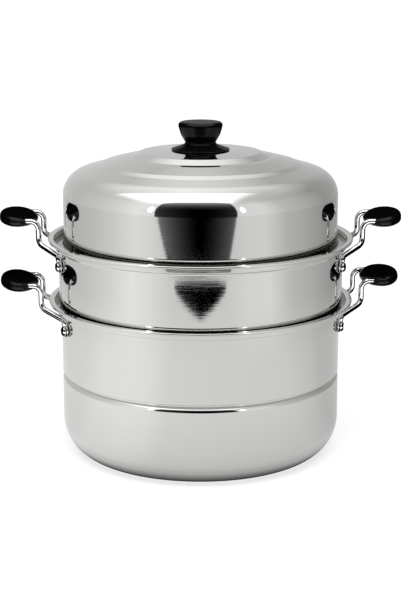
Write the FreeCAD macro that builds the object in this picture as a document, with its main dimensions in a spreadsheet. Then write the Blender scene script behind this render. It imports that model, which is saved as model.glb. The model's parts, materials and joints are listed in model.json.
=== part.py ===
import FreeCAD, Part

import math
import os
import re

import Sketcher

# Two-tier steamer pot, in millimetres. +Z is up, the origin is the centre of the pot's base, and the
# steamer's handles lie along X. A pot, a perforated steamer and a lid are pressed from one gauge of
# stainless sheet and stack rim in rim; each vessel has two wire handles with an oval grip.

SIZES = {
    # Sheet and pot
    "sheet": 0.7,               # gauge of every pressed shell
    "pot_bore": 280.0,          # inside diameter of the pot
    "pot_height": 157.0,        # floor of the stack to the top of the pot's rim
    "heel_radius": 121.2,       # where the base turns up into the heel
    "heel_rise": 16.6,          # base to the height where the heel meets the wall
    "heel_bend": 18.5,          # base into heel
    "base_bend": 38.6,          # heel into wall
    "ridge_height": 80.9,       # middle of the pressed ridge that carries the steam plate
    "ridge_width": 5.2,
    "ridge_depth": 3.2,
    "ridge_bend": 0.8,
    "ridge_flank": 3.2,         # height of the ridge's sloping underside
    "ridge_flank_bend": 5.0,    # wall below the ridge into that slope
    # Rim, alike on pot and steamer
    "ledge_width": 7.0,         # pot wall to recess wall, inside
    "recess_depth": 7.5,        # rim top to the ledge that the next piece sits on
    "ledge_bend": 0.8,
    "brim_bend": 1.5,           # rim band into the brim
    "lip_width": 6.2,           # recess wall to the edge of the brim
    "lip_height": 2.7,          # edge of the brim, folded under
    "lip_bend": 0.9,
    "lip_opening": 1.7,         # rim band to the free end of the fold
    # Steamer
    "tier_rise": 62.8,          # pot rim to steamer rim
    "skirt_clearance": 0.7,     # steamer skirt to pot wall
    "skirt_depth": 8.0,         # skirt below the pot's ledge
    "skirt_bend": 4.0,
    "shoulder_width": 3.5,      # skirt to steamer wall
    "wall_bend": 3.0,           # steamer wall into the ledge under its rim
    "floor_hole": 8.0,
    "floor_pitch": 22.0,        # spacing of the rings of steam holes
    # Steam plate
    "plate_clearance": 0.3,     # plate edge to the rivets' tails as it is lifted past them
    "plate_gauge": 0.8,
    "plate_hole": 9.0,
    "plate_pitch": 24.0,
    "plate_finger_hole": 24.0,
    # Lid
    "lid_clearance": 0.8,       # lid flange to recess wall
    "lid_inset": 9.8,           # recess wall to lid wall
    "lid_height": 94.0,         # flange underside to the flat at the knob
    "flange_bend": 2.5,
    "shoulder_bend": 25.2,
    "shoulder_drop": 24.7,      # lid top to the corner that the shoulder rounds off
    "boss_radius": 16.0,        # flat under the knob
    "crown_radius": 59.6,
    "crown_drop": 1.9,
    "step_radius": 69.5,
    "step_drop": 6.3,
    "brow_radius": 74.7,
    "brow_drop": 6.8,
    "tread_radius": 96.5,
    "tread_drop": 12.2,
    "riser_radius": 101.9,
    "riser_drop": 14.8,
    "soft_bend": 7.0,           # small bends between the lid's rings
    "broad_bend": 20.0,         # wide bends between them
    # Knob and its fixing
    "knob_height": 27.5,
    "knob_top": 45.2,           # across the head
    "knob_waist": 29.4,
    "knob_waist_height": 6.5,
    "knob_waist_bend": 2.0,
    "knob_swell": 39.2,         # across, part of the way up the head
    "knob_swell_height": 15.0,
    "knob_swell_bend": 18.0,
    "knob_edge_drop": 2.5,      # knob top to the widest place of the head
    "knob_edge_bend": 2.6,
    "knob_skirt": 57.8,
    "knob_skirt_edge": 0.7,
    "knob_flare": 37.2,         # across, where the skirt turns up to the waist
    "knob_flare_height": 4.3,
    "knob_flare_bend": 6.0,
    "knob_dish": 0.7,           # hollow in the top
    "knob_dish_width": 37.0,
    "insert_diameter": 8.4,
    "insert_length": 14.0,
    "screw_diameter": 5.0,
    "screw_reach": 11.0,        # screw tip above the lid top
    "screw_head": 9.5,
    "screw_head_height": 3.2,
    "screw_slot_width": 1.3,
    "screw_slot_depth": 1.6,
    "washer_diameter": 16.0,
    "washer_gauge": 1.0,
    "fit_gap": 0.1,             # round fits between fixed pieces
    # Wire handles
    "wire": 5.5,
    "wire_bend": 8.0,
    "leg_gap": 4.2,             # rolled lip to the standing leg
    "leg_spread": 52.0,
    "leg_drop": 4.0,            # rim top down to the lower bend of the leg
    "leg_rise": 18.5,           # rim top up to the run into the grip
    "foot_angle": 17.0,         # round the wall, each side of the handle's middle
    "foot_drop": 24.0,          # rim top down to the rivet
    "foot_bend": 5.0,
    "foot_bend_drop": 13.5,     # rim top down to the bend above the foot
    "foot_height": 9.0,         # rivet to the top of the flattened end
    "foot_width": 12.0,
    "foot_gauge": 3.0,
    "foot_lap": 5.8,            # rivet to the end of the round wire
    "pot_turn": 4.0,            # pot stands turned a little under the steamer
    # Grips
    "grip_length": 68.0,
    "grip_width": 38.0,
    "grip_gauge": 12.0,
    "grip_round": 5.3,
    "grip_reach": 22.0,         # leg to the middle of the grip
    "grip_tilt": 7.0,
    "grip_turn": 9.0,           # bend of the wire inside the grip
    # Rivets
    "rivet": 5.0,
    "rivet_head": 10.0,
    "rivet_head_height": 3.2,
    "rivet_head_bend": 2.6,
    "rivet_tail": 9.0,
    "rivet_tail_height": 0.8,
    "burr_diameter": 13.0,      # washer under the rivet's tail
    "burr_gauge": 0.6,
    "wall_gap": 0.2,            # flat burr to the hollow side of the wall
}

HOLE_RINGS = 5
HOLES_PER_RING = 6              # ring n holds n times this many
HANDLES = {"left": 180.0, "right": 0.0}

# Places that follow from the sizes, as formulas of the sheet's names
POT_IN = "pot_bore / 2"
POT_OUT = f"({POT_IN} + sheet)"
RECESS = f"({POT_IN} + ledge_width)"
RIM_OUT = f"({RECESS} + lip_width)"
POT_RIM = "pot_height"
POT_SEAT = f"({POT_RIM} - recess_depth)"
STEAMER_RIM = f"({POT_RIM} + tier_rise)"
STEAMER_SEAT = f"({STEAMER_RIM} - recess_depth)"
STEAMER_SKIRT = f"({POT_IN} - skirt_clearance)"
STEAMER_OUT = f"({STEAMER_SKIRT} + shoulder_width)"
STEAMER_FLOOR = f"({POT_SEAT} - skirt_depth)"
PLATE_SEAT = "(ridge_height + ridge_width / 2 + sheet)"
PLATE_EDGE = f"({POT_IN} - wall_gap - burr_gauge - rivet_tail_height - plate_clearance)"
LID_WALL = f"({RECESS} - lid_inset)"
LID_TOP = f"({STEAMER_SEAT} + lid_height)"
KNOB_TOP = f"({LID_TOP} + knob_height)"
WASHER_UNDER = f"({LID_TOP} - sheet - washer_gauge)"

doc = FreeCAD.newDocument("steamer_pot")
sheet = doc.addObject("Spreadsheet::Sheet", "Sizes")
for row, (name, value) in enumerate(SIZES.items(), 1):
    sheet.set(f"A{row}", name)
    sheet.set(f"B{row}", str(value))
    sheet.setAlias(f"B{row}", name)
doc.recompute()


def formula(text):
    """The text with each size written as a cell of the sheet."""
    return re.sub(r"[a-z_]+[a-z]", lambda m: f"Sizes.{m[0]}" if m[0] in SIZES else m[0], str(text))


def size(text):
    """The number that a formula of the sheet's names gives now."""
    return float(sheet.evalExpression(formula(text)))


def bind(item, **sizes):
    for prop, text in sizes.items():
        item.setExpression(prop, formula(text))


# Outlines for turned pieces. A line is V at a radius, H at a height or L through two points, and ends
# in a bend of the given radius (None for a sharp corner). Lines meet where they cross.


def V(radius, bend=None):
    return {"kind": "V", "at": str(radius), "bend": bend}


def H(height, bend=None):
    return {"kind": "H", "at": str(height), "bend": bend}


def L(start, end, bend=None):
    return {"kind": "L", "points": (start, end), "bend": bend}


def straight(line):
    """A point on the line and its direction, as numbers."""
    if line["kind"] == "V":
        return (size(line["at"]), 0.0), (0.0, 1.0)
    if line["kind"] == "H":
        return (0.0, size(line["at"])), (1.0, 0.0)
    (x0, y0), (x1, y1) = [(size(x), size(y)) for x, y in line["points"]]
    return (x0, y0), (x1 - x0, y1 - y0)


def crossing(one, other):
    (px, py), (ux, uy) = straight(one)
    (qx, qy), (vx, vy) = straight(other)
    along = ((qx - px) * vy - (qy - py) * vx) / (ux * vy - uy * vx)
    return FreeCAD.Vector(px + along * ux, py + along * uy, 0)


def turn_side(before, corner, after):
    """Positive where the path turns left at the corner."""
    return (corner - before).cross(after - corner).z


def draw(sketch, lines):
    """Draws the closed outline with every line and bend held by a formula."""
    count = len(lines)
    corners = [crossing(lines[i - 1], lines[i]) for i in range(count)]
    starts, ends, arcs = list(corners), corners[1:] + corners[:1], {}
    for i, line in enumerate(lines):
        if line["bend"] is None:
            continue
        corner = corners[(i + 1) % count]
        before = (corner - corners[i]).normalize()
        after = (corners[(i + 2) % count] - corner).normalize()
        radius = size(line["bend"])
        side = 1 if before.cross(after).z > 0 else -1
        cut = radius * math.tan(before.getAngle(after) / 2)
        ends[i], starts[(i + 1) % count] = corner - before * cut, corner + after * cut
        centre = ends[i] + FreeCAD.Vector(-before.y, before.x, 0) * (radius * side)
        arcs[i] = (centre, radius, side)
    rules, texts = [], []

    def hold(text, *rule):
        rules.append(Sketcher.Constraint(*rule, size(text)))
        texts.append((len(rules) - 1, text))

    for i in range(count):
        sketch.addGeometry(Part.LineSegment(starts[i], ends[i]))
    for i, line in enumerate(lines):
        if line["kind"] == "L":
            for x, y in line["points"]:
                guide = sketch.addGeometry(Part.Point(FreeCAD.Vector(size(x), size(y), 0)), True)
                hold(x, "DistanceX", -1, 1, guide, 1)
                hold(y, "DistanceY", -1, 1, guide, 1)
                rules.append(Sketcher.Constraint("PointOnObject", guide, 1, i))
            continue
        upright = line["kind"] == "V"
        rules.append(Sketcher.Constraint("Vertical" if upright else "Horizontal", i))
        if line["at"] == "0":
            rules.append(Sketcher.Constraint("PointOnObject", i, 1, -2 if upright else -1))
        else:
            hold(line["at"], "DistanceX" if upright else "DistanceY", -1, 1, i, 1)
    for i in range(count):
        following = (i + 1) % count
        if i not in arcs:
            rules.append(Sketcher.Constraint("Coincident", i, 2, following, 1))
            continue
        centre, radius, side = arcs[i]
        first, last = (ends[i], starts[following]) if side > 0 else (starts[following], ends[i])
        angles = [math.atan2(p.y - centre.y, p.x - centre.x) for p in (first, last)]
        circle = Part.Circle(centre, FreeCAD.Vector(0, 0, 1), radius)
        arc = sketch.addGeometry(Part.ArcOfCircle(circle, *angles))
        near, far = (1, 2) if side > 0 else (2, 1)
        rules.append(Sketcher.Constraint("Tangent", i, 2, arc, near))
        rules.append(Sketcher.Constraint("Tangent", arc, far, following, 1))
        hold(lines[i]["bend"], "Radius", arc)
    sketch.addConstraint(rules)
    for index, text in texts:
        sketch.setExpression(f"Constraints[{index}]", formula(text))


def shifted(line, forward):
    """The line moved one gauge to the left of its travel."""
    if line["kind"] == "V":
        return V(f"{line['at']} {'-' if forward.y > 0 else '+'} sheet")
    sign = "+" if forward.x > 0 else "-"
    if line["kind"] == "H":
        return H(f"{line['at']} {sign} sheet")
    (x0, y0), (x1, y1) = line["points"]
    slope = f"(({y1} - ({y0})) / ({x1} - ({x0})))"
    return L(*[(x, f"{y} {sign} sheet * sqrt(1 + {slope}^2)") for x, y in line["points"]])


def pressed(path, start, end):
    """Outline of a sheet of one gauge. The path is the sheet's right-hand face, its bends are at
    mid-gauge, and start and end are the lines that close it."""
    chain = [start] + path + [end]
    corners = [crossing(chain[i], chain[i + 1]) for i in range(len(chain) - 1)]
    right, left = [], []
    for i, line in enumerate(path):
        ahead, behind = shifted(line, corners[i + 1] - corners[i]), dict(line)
        if line["bend"] is not None:
            leftward = turn_side(corners[i], corners[i + 1], corners[i + 2]) > 0
            outer, inner = ("+", "-") if leftward else ("-", "+")
            behind["bend"] = f"{line['bend']} {outer} sheet / 2"
            ahead["bend"] = f"{line['bend']} {inner} sheet / 2"
        right.append(behind)
        left.append(ahead)
    bends = [line["bend"] for line in left]
    for i, line in enumerate(left):
        line["bend"] = bends[i - 1] if i else None
    return right + [end] + left[::-1] + [start]


def plane(body, role):
    return next(item for item in body.Origin.OriginFeatures if item.Role == role)


def new_sketch(body, role, name):
    sketch = body.newObject("Sketcher::SketchObject", name)
    sketch.AttachmentSupport = [(plane(body, role), "")]
    sketch.MapMode = "FlatFace"
    return sketch


def turned(name, lines):
    """A body revolved about Z from an outline in the XZ plane."""
    body = doc.addObject("PartDesign::Body", name)
    sketch = new_sketch(body, "XZ_Plane", f"{name}_outline")
    draw(sketch, lines)
    doc.recompute()
    solid = body.newObject("PartDesign::Revolution", f"{name}_turn")
    solid.Profile = sketch
    solid.ReferenceAxis = (sketch, ["V_Axis"])
    solid.Angle = 360
    sketch.Visibility = False
    doc.recompute()
    return body


def perforate(body, hole, pitch):
    """Rings of steam holes right through the body's floor."""
    for ring in range(1, HOLE_RINGS + 1):
        sketch = new_sketch(body, "XY_Plane", f"{body.Name}_hole_{ring}")
        middle = FreeCAD.Vector(ring * size(pitch), 0, 0)
        sketch.addGeometry(Part.Circle(middle, FreeCAD.Vector(0, 0, 1), size(hole) / 2))
        sketch.addConstraint([
            Sketcher.Constraint("PointOnObject", 0, 3, -1),
            Sketcher.Constraint("DistanceX", -1, 1, 0, 3, middle.x),
            Sketcher.Constraint("Diameter", 0, size(hole)),
        ])
        sketch.setExpression("Constraints[1]", formula(f"{ring} * {pitch}"))
        sketch.setExpression("Constraints[2]", formula(hole))
        doc.recompute()
        before = body.Shape.Volume
        pocket = body.newObject("PartDesign::Pocket", f"{body.Name}_pocket_{ring}")
        pocket.Profile = sketch
        pocket.Type = "ThroughAll"
        pocket.Reversed = True
        doc.recompute()
        if body.Shape.Volume >= before:
            raise RuntimeError(f"{body.Name}: ring {ring} cuts nothing")
        pattern = body.newObject("PartDesign::PolarPattern", f"{body.Name}_ring_{ring}")
        pattern.Originals = [pocket]
        pattern.Axis = (sketch, ["N_Axis"])
        pattern.Angle = 360
        pattern.Occurrences = ring * HOLES_PER_RING
        body.Tip = pattern
        doc.recompute()


# Places round the vessels


def spin(degrees):
    return FreeCAD.Rotation(FreeCAD.Vector(0, 0, 1), degrees)


def around(degrees, radius, height):
    """Frame on the wall: its X points outwards at the given angle about Z."""
    turn = spin(degrees)
    return FreeCAD.Placement(turn.multVec(FreeCAD.Vector(radius, 0, height)), turn)


OUTWARDS = FreeCAD.Rotation(FreeCAD.Vector(0, 1, 0), 90)


def radial_cylinder(name, place, radius, length):
    """A cylinder that starts at the place and runs outwards."""
    rod = doc.addObject("Part::Cylinder", name)
    bind(rod, Radius=radius, Height=length)
    rod.Placement = FreeCAD.Placement(place.Base, place.Rotation * OUTWARDS)
    return rod


def combined(kind, name, shapes):
    item = doc.addObject(kind, name)
    setattr(item, "Links" if kind == "Part::Compound" else "Shapes", shapes)
    return item


def cut(name, base, tool):
    item = doc.addObject("Part::Cut", name)
    item.Base, item.Tool = base, tool
    return item


class Vessel:
    """Where a vessel's handles go: its wall, its rim and the way they face."""

    def __init__(self, name, wall, rim, turn):
        self.name, self.wall, self.rim, self.turn = name, wall, rim, turn

    def feet(self):
        return [sign * size("foot_angle") for sign in (-1, 1)]

    def rivet_place(self, angle, radius):
        return around(angle, size(radius), size(f"{self.rim} - foot_drop"))

    def holed(self, shell):
        """The shell with a hole at every rivet."""
        holes = []
        for side, azimuth in HANDLES.items():
            for number, foot in enumerate(self.feet()):
                place = self.rivet_place(azimuth + self.turn + foot, f"{self.wall} - ledge_width")
                name = f"{self.name}_{side}_hole_{number}"
                holes.append(radial_cylinder(name, place, "rivet / 2 + fit_gap", "2 * ledge_width"))
        return cut(f"{self.name}_body", shell, combined("Part::MultiFuse", f"{self.name}_holes", holes))


def rim_path(wall, rim, bend):
    """The wall's top: ledge, upright band and a brim folded under at its edge, met from below."""
    return [
        V(wall, bend),
        H(f"{rim} - recess_depth - sheet", "ledge_bend"),
        V(f"{RECESS} + sheet", "brim_bend"),
        H(f"{rim} - sheet", "lip_bend"),
        V(f"{RIM_OUT} - sheet", "lip_bend"),
        H(f"{rim} - lip_height + sheet"),
    ], V(f"{RECESS} + sheet + lip_opening")


def make_pot():
    ridge = f"({POT_OUT} - ridge_depth)"
    top, lip_end = rim_path(POT_OUT, POT_RIM, "ledge_bend")
    foot = "ridge_height - ridge_width / 2"
    path = [
        H("0", "heel_bend"),
        L(("heel_radius", "0"), (POT_OUT, "heel_rise"), "base_bend"),
        V(POT_OUT, "ridge_flank_bend"),
        L((POT_OUT, foot), (ridge, f"{foot} + ridge_flank"), "ridge_bend"),
        V(ridge, "ridge_bend"),
        H("ridge_height + ridge_width / 2", "ridge_bend"),
    ] + top
    return turned("pot_shell", pressed(path, V("0"), lip_end))


def make_steamer():
    top, lip_end = rim_path(STEAMER_OUT, STEAMER_RIM, "wall_bend")
    path = [
        H(STEAMER_FLOOR, "skirt_bend"),
        V(STEAMER_SKIRT, "ledge_bend"),
        H(POT_SEAT, "ledge_bend"),
    ] + top
    shell = turned("steamer_shell", pressed(path, V("0"), lip_end))
    perforate(shell, "floor_hole", "floor_pitch")
    return shell


def make_steam_plate():
    plate = turned("steam_plate", [
        H(PLATE_SEAT),
        V(PLATE_EDGE),
        H(f"{PLATE_SEAT} + plate_gauge"),
        V("plate_finger_hole / 2"),
    ])
    perforate(plate, "plate_hole", "plate_pitch")
    return plate


def make_lid():
    rings = [("boss_radius", LID_TOP)]
    for ring in ("crown", "step", "brow", "tread", "riser"):
        rings.append((f"{ring}_radius", f"{LID_TOP} - {ring}_drop"))
    rings.append((LID_WALL, f"{LID_TOP} - shoulder_drop"))
    bends = ["broad_bend", "soft_bend", "soft_bend", "broad_bend", "soft_bend", "soft_bend"]
    slopes = [L(outer, inner, bend) for inner, outer, bend in zip(rings, rings[1:], bends)]
    path = [
        H(f"{STEAMER_SEAT} + sheet", "flange_bend"),
        V(LID_WALL, "shoulder_bend"),
    ] + slopes[::-1] + [H(LID_TOP)]
    edge = V(f"{RECESS} - lid_clearance")
    return turned("lid_shell", pressed(path, edge, V("screw_diameter / 2 + fit_gap")))


def make_knob():
    skirt = ("knob_skirt / 2", f"{LID_TOP} + knob_skirt_edge")
    flare = ("knob_flare / 2", f"{LID_TOP} + knob_flare_height")
    waist = ("knob_waist / 2", f"{LID_TOP} + knob_waist_height")
    swell = ("knob_swell / 2", f"{LID_TOP} + knob_swell_height")
    head = ("knob_top / 2", f"{KNOB_TOP} - knob_edge_drop")
    dish = ("knob_dish_width / 2", f"{KNOB_TOP}")
    socket = "insert_diameter / 2 + fit_gap"
    turned("lid_knob", [
        H(LID_TOP),
        V(skirt[0]),
        L(skirt, flare, "knob_flare_bend"),
        L(flare, waist, "knob_waist_bend"),
        L(waist, swell, "knob_swell_bend"),
        L(swell, head, "knob_edge_bend"),
        H(KNOB_TOP),
        L(dish, ("0", f"{KNOB_TOP} - knob_dish")),
        V("0"),
        H(f"{LID_TOP} + insert_length"),
        V(socket),
    ])
    turned("knob_insert", [
        H(LID_TOP),
        V("insert_diameter / 2"),
        H(f"{LID_TOP} + insert_length"),
        V("screw_diameter / 2 + fit_gap"),
    ])
    turned("knob_washer", [
        H(WASHER_UNDER),
        V("washer_diameter / 2"),
        H(f"{WASHER_UNDER} + washer_gauge"),
        V("screw_diameter / 2 + fit_gap"),
    ])


def make_knob_screw():
    under = f"({WASHER_UNDER} - screw_head_height)"
    screw = turned("screw_blank", [
        H(under),
        V("screw_head / 2"),
        H(WASHER_UNDER),
        V("screw_diameter / 2"),
        H(f"{LID_TOP} + screw_reach"),
        V("0"),
    ])
    slot = doc.addObject("Part::Box", "screw_slot")
    bind(slot, Length="screw_head", Width="screw_slot_width", Height="screw_slot_depth")
    slot.Placement.Base = FreeCAD.Vector(-size("screw_head / 2"), -size("screw_slot_width / 2"), size(under))
    return cut("knob_screw", screw, slot)


# Wire handles


def bent_path(points, radii):
    """Straight runs through the points, with a tangent arc at each inner one."""
    edges, start = [], points[0]
    for i, radius in enumerate(radii, 1):
        before = (points[i] - points[i - 1]).normalize()
        after = (points[i + 1] - points[i]).normalize()
        half = before.getAngle(after) / 2
        cut_back = radius * math.tan(half)
        first, last = points[i] - before * cut_back, points[i] + after * cut_back
        inward = (after - before).normalize()
        middle = points[i] + inward * (radius / math.cos(half) - radius)
        edges.append(Part.LineSegment(start, first).toShape())
        edges.append(Part.Arc(first, middle, last).toShape())
        start = last
    edges.append(Part.LineSegment(start, points[-1]).toShape())
    return Part.Wire(edges)


def wire_route(vessel):
    """One handle's wire, from foot to foot through the grip, for a handle that faces +X."""
    rim = size(vessel.rim)
    angle = math.radians(size("foot_angle"))
    foot = size(f"{vessel.wall} + fit_gap + wire / 2")
    leg = size(f"{RIM_OUT} + leg_gap + wire / 2")
    y = size("leg_spread / 2")
    top = rim + size("leg_rise")
    half = [
        FreeCAD.Vector(foot * math.cos(angle), foot * math.sin(angle), rim - size("foot_drop - foot_lap")),
        FreeCAD.Vector(foot * math.cos(angle), foot * math.sin(angle), rim - size("foot_bend_drop")),
        FreeCAD.Vector(leg, y, rim - size("leg_drop")),
        FreeCAD.Vector(leg, y, top),
        FreeCAD.Vector(leg + size("grip_reach"), y, top),
    ]
    bends = [size(bend) for bend in ("foot_bend", "wire_bend", "wire_bend", "grip_turn")]
    mirrored = [FreeCAD.Vector(p.x, -p.y, p.z) for p in half[::-1]]
    return bent_path(half + mirrored, bends + bends[::-1])


def swept(name, path, radius):
    """A round rod along a bent path."""
    start = path.Vertexes[0].Point
    along = path.Edges[0].tangentAt(path.Edges[0].FirstParameter)
    section = Part.Wire(Part.makeCircle(radius, start, along))
    rod = doc.addObject("Part::Feature", name)
    rod.Shape = path.makePipeShell([section], True, True)
    wanted = math.pi * radius ** 2 * path.Length
    if abs(rod.Shape.Volume - wanted) > 0.01 * wanted:
        raise RuntimeError(f"{name}: swept volume is off")
    return rod


def make_foot(name, vessel, angle):
    """The wire's end flattened against the wall, rounded below the rivet."""
    face = f"{vessel.wall} + fit_gap"
    pad = doc.addObject("Part::Box", f"{name}_pad")
    bind(pad, Length="foot_gauge", Width="foot_width", Height="foot_height")
    place = vessel.rivet_place(angle, face)
    aside = FreeCAD.Vector(0, -size("foot_width / 2"), 0)
    pad.Placement = place * FreeCAD.Placement(aside, FreeCAD.Rotation())
    toe = radial_cylinder(f"{name}_toe", place, "foot_width / 2", "foot_gauge")
    return [pad, toe]


def make_rivet(name, place):
    """A rivet set from inside the wall: round tail, shank through burr, wall and foot, domed head."""
    tail = "(wall_gap + sheet + burr_gauge)"
    rivet = turned(name, [
        H("0"),
        V("rivet_tail / 2"),
        H("rivet_tail_height"),
        V("rivet / 2"),
        H(f"rivet_tail_height + {tail} + fit_gap + foot_gauge"),
        V("rivet_head / 2", "rivet_head_bend"),
        H(f"rivet_tail_height + {tail} + fit_gap + foot_gauge + rivet_head_height"),
        V("0"),
    ])
    rivet.Placement = FreeCAD.Placement(place.Base, place.Rotation * OUTWARDS)
    return rivet


def make_burr(name, place):
    burr = turned(name, [
        H("0"),
        V("burr_diameter / 2"),
        H("burr_gauge"),
        V("rivet / 2 + fit_gap"),
    ])
    burr.Placement = FreeCAD.Placement(place.Base, place.Rotation * OUTWARDS)
    return burr


def make_handle(vessel, side, azimuth):
    """Wire, grip, rivets and burrs of one handle, each a piece of its own."""
    name = f"{vessel.name}_{side}"
    whole = FreeCAD.Placement(FreeCAD.Vector(), spin(azimuth + vessel.turn))
    route = wire_route(vessel)
    wire = [swept(f"{name}_rod", route, size("wire / 2"))]
    holes, rivets, burrs = [], [], []
    inside = f"{vessel.wall} - sheet - wall_gap - burr_gauge"
    for number, foot in enumerate(vessel.feet()):
        wire += make_foot(f"{name}_foot_{number}", vessel, foot)
        hole = vessel.rivet_place(foot, vessel.wall)
        holes.append(radial_cylinder(f"{name}_eye_{number}", hole, "rivet / 2 + fit_gap", "2 * foot_gauge"))
        rivet_place = vessel.rivet_place(foot, f"{inside} - rivet_tail_height")
        rivets.append(make_rivet(f"{name}_rivet_{number}", rivet_place))
        burrs.append(make_burr(f"{name}_burr_{number}", vessel.rivet_place(foot, inside)))
    rod = combined("Part::MultiFuse", f"{name}_bent_wire", wire)
    eyes = combined("Part::MultiFuse", f"{name}_eyes", holes)
    pieces = [
        cut(f"{name}_wire", rod, eyes),
        make_grip(f"{name}_grip", vessel, route),
        combined("Part::Compound", f"{name}_rivets", rivets),
        combined("Part::Compound", f"{name}_burrs", burrs),
    ]
    for piece in pieces:
        piece.Placement = whole
    return pieces


def make_grip(name, vessel, route):
    """An oval moulded grip with the wire's channel through it."""
    body = doc.addObject("PartDesign::Body", f"{name}_oval")
    sketch = new_sketch(body, "XY_Plane", f"{name}_plan")
    along = FreeCAD.Vector(0, size("grip_length / 2"), 0)
    across = FreeCAD.Vector(-size("grip_width / 2"), 0, 0)
    sketch.addGeometry(Part.Ellipse(along, across, FreeCAD.Vector()))
    sketch.exposeInternalGeometry(0)
    sketch.addConstraint([
        Sketcher.Constraint("Coincident", 0, 3, -1, 1),
        Sketcher.Constraint("Vertical", 1),
        Sketcher.Constraint("Distance", 1, size("grip_length")),
        Sketcher.Constraint("Distance", 2, size("grip_width")),
    ])
    for index, text in enumerate(("grip_length", "grip_width"), sketch.ConstraintCount - 2):
        sketch.setExpression(f"Constraints[{index}]", formula(text))
    doc.recompute()
    pad = body.newObject("PartDesign::Pad", f"{name}_pad")
    pad.Profile = sketch
    pad.SideType = "Symmetric"
    bind(pad, Length="grip_gauge")
    doc.recompute()
    rims = [f"Edge{i}" for i, edge in enumerate(pad.Shape.Edges, 1) if isinstance(edge.Curve, Part.Ellipse)]
    rounding = body.newObject("PartDesign::Fillet", f"{name}_rounding")
    rounding.Base = (pad, rims)
    bind(rounding, Radius="grip_round")
    middle = size(f"{RIM_OUT} + leg_gap + wire / 2 + grip_reach")
    tilt = FreeCAD.Rotation(FreeCAD.Vector(0, 1, 0), -size("grip_tilt"))
    body.Placement = FreeCAD.Placement(FreeCAD.Vector(middle, 0, size(f"{vessel.rim} + leg_rise")), tilt)
    channel = swept(f"{name}_channel", route, size("wire / 2 + fit_gap"))
    return cut(name, body, channel)


def main():
    vessels = [
        (Vessel("pot", POT_OUT, POT_RIM, size("pot_turn")), make_pot()),
        (Vessel("steamer", STEAMER_OUT, STEAMER_RIM, 0.0), make_steamer()),
    ]
    pieces = []
    for vessel, shell in vessels:
        pieces.append(vessel.holed(shell))
        for side, azimuth in HANDLES.items():
            pieces += make_handle(vessel, side, azimuth)
    pieces += [make_steam_plate(), make_lid()]
    make_knob()
    pieces.append(make_knob_screw())
    pieces += [doc.getObject(name) for name in ("lid_knob", "knob_insert", "knob_washer")]
    doc.recompute()
    faults = [item.Name for item in doc.Objects if {"Invalid", "Error"} & set(item.State)]
    faults += [piece.Label for piece in pieces if piece.Shape.isNull() or not piece.Shape.isValid()]
    if faults:
        raise RuntimeError("failed: " + ", ".join(faults))
    os.makedirs("parts", exist_ok=True)
    for piece in pieces:
        piece.Shape.exportStep(f"parts/{piece.Label}.step")
        print(piece.Label, len(piece.Shape.Solids), round(piece.Shape.Volume))


main()
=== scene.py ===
import json
import math

import bmesh
import bpy
from bpy.props import FloatProperty, FloatVectorProperty, PointerProperty
from mathutils import Matrix, Vector

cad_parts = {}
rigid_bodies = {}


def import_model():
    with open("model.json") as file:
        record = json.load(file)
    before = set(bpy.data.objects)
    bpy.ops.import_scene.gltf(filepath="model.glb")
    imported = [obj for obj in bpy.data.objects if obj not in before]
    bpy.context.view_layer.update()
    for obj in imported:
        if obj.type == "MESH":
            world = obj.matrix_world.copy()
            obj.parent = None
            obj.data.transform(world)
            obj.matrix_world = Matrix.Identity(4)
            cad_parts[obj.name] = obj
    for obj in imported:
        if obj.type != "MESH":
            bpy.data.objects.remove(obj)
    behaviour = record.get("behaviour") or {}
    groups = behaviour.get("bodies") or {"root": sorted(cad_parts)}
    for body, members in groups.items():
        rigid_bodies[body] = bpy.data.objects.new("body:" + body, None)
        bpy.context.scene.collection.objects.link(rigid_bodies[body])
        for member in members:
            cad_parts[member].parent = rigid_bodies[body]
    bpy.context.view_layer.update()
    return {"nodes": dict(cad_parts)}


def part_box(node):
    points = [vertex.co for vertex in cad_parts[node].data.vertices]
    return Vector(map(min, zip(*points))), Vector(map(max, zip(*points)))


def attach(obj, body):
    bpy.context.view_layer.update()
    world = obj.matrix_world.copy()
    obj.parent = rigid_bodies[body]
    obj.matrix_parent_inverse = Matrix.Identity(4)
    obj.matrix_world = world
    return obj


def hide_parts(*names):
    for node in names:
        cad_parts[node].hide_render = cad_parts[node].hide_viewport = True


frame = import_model()

bl_info = {
    "name": "Steamer Pot",
    "version": (1, 0, 0),
    "blender": (4, 5, 0),
    "location": "View3D > Sidebar > Steamer Pot",
    "description": "A two-tier stainless steamer pot on a white studio floor",
    "category": "Object",
}

MM = 0.001
TURNS = 192                     # steps of a full turn on the pressed shells
SHARP = math.radians(38)        # edges that turn further than this are shaded sharp
HANDLES = {"left": math.pi, "right": 0.0}

FLAT_BAND = 0.3 * MM            # band that keeps a straight run's shading flat
FIT = 0.1 * MM                  # round fits between fixed pieces
TIGHT = 0.45 * MM               # outer face of a press bend that closes
WIDE = 1.15 * MM                # outer face of a press bend that opens
HEEL = 18.85 * MM               # pot base into its sloping heel
FLANK = 5.35 * MM               # pot wall into the ridge's sloping underside
FOLD = 0.55 * MM                # inside of the folded brim
FOLD_OPENING = 1.7 * MM         # rim band to the free end of the fold
STEAMER_STEP = 2.8 * MM         # pot's inside to the steamer's outer wall
SKIRT_GAP = 0.7 * MM            # pot wall to the steamer's skirt
SKIRT_BEND = 4.35 * MM          # steamer's floor into its skirt
SHOULDER_WIDTH = 3.5 * MM       # steamer's skirt to its wall
LEDGE_FILLET = 2.65 * MM        # steamer's wall into the ledge under its rim
HOLE_RINGS = 5                  # rings of steam holes in the steamer's floor
HOLES_PER_RING = 6              # holes in the first ring, and as many more in each ring after it
PAINTED_SEAT_SHADE_FADE = (0.5 * MM, 4.0 * MM)    # below a rim, where the painted shade in the seats starts and where it is full
LID_GAP = 0.8 * MM              # recess wall to the lid's flange
LID_INSET = 9.8 * MM            # recess wall to the lid's wall
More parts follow.
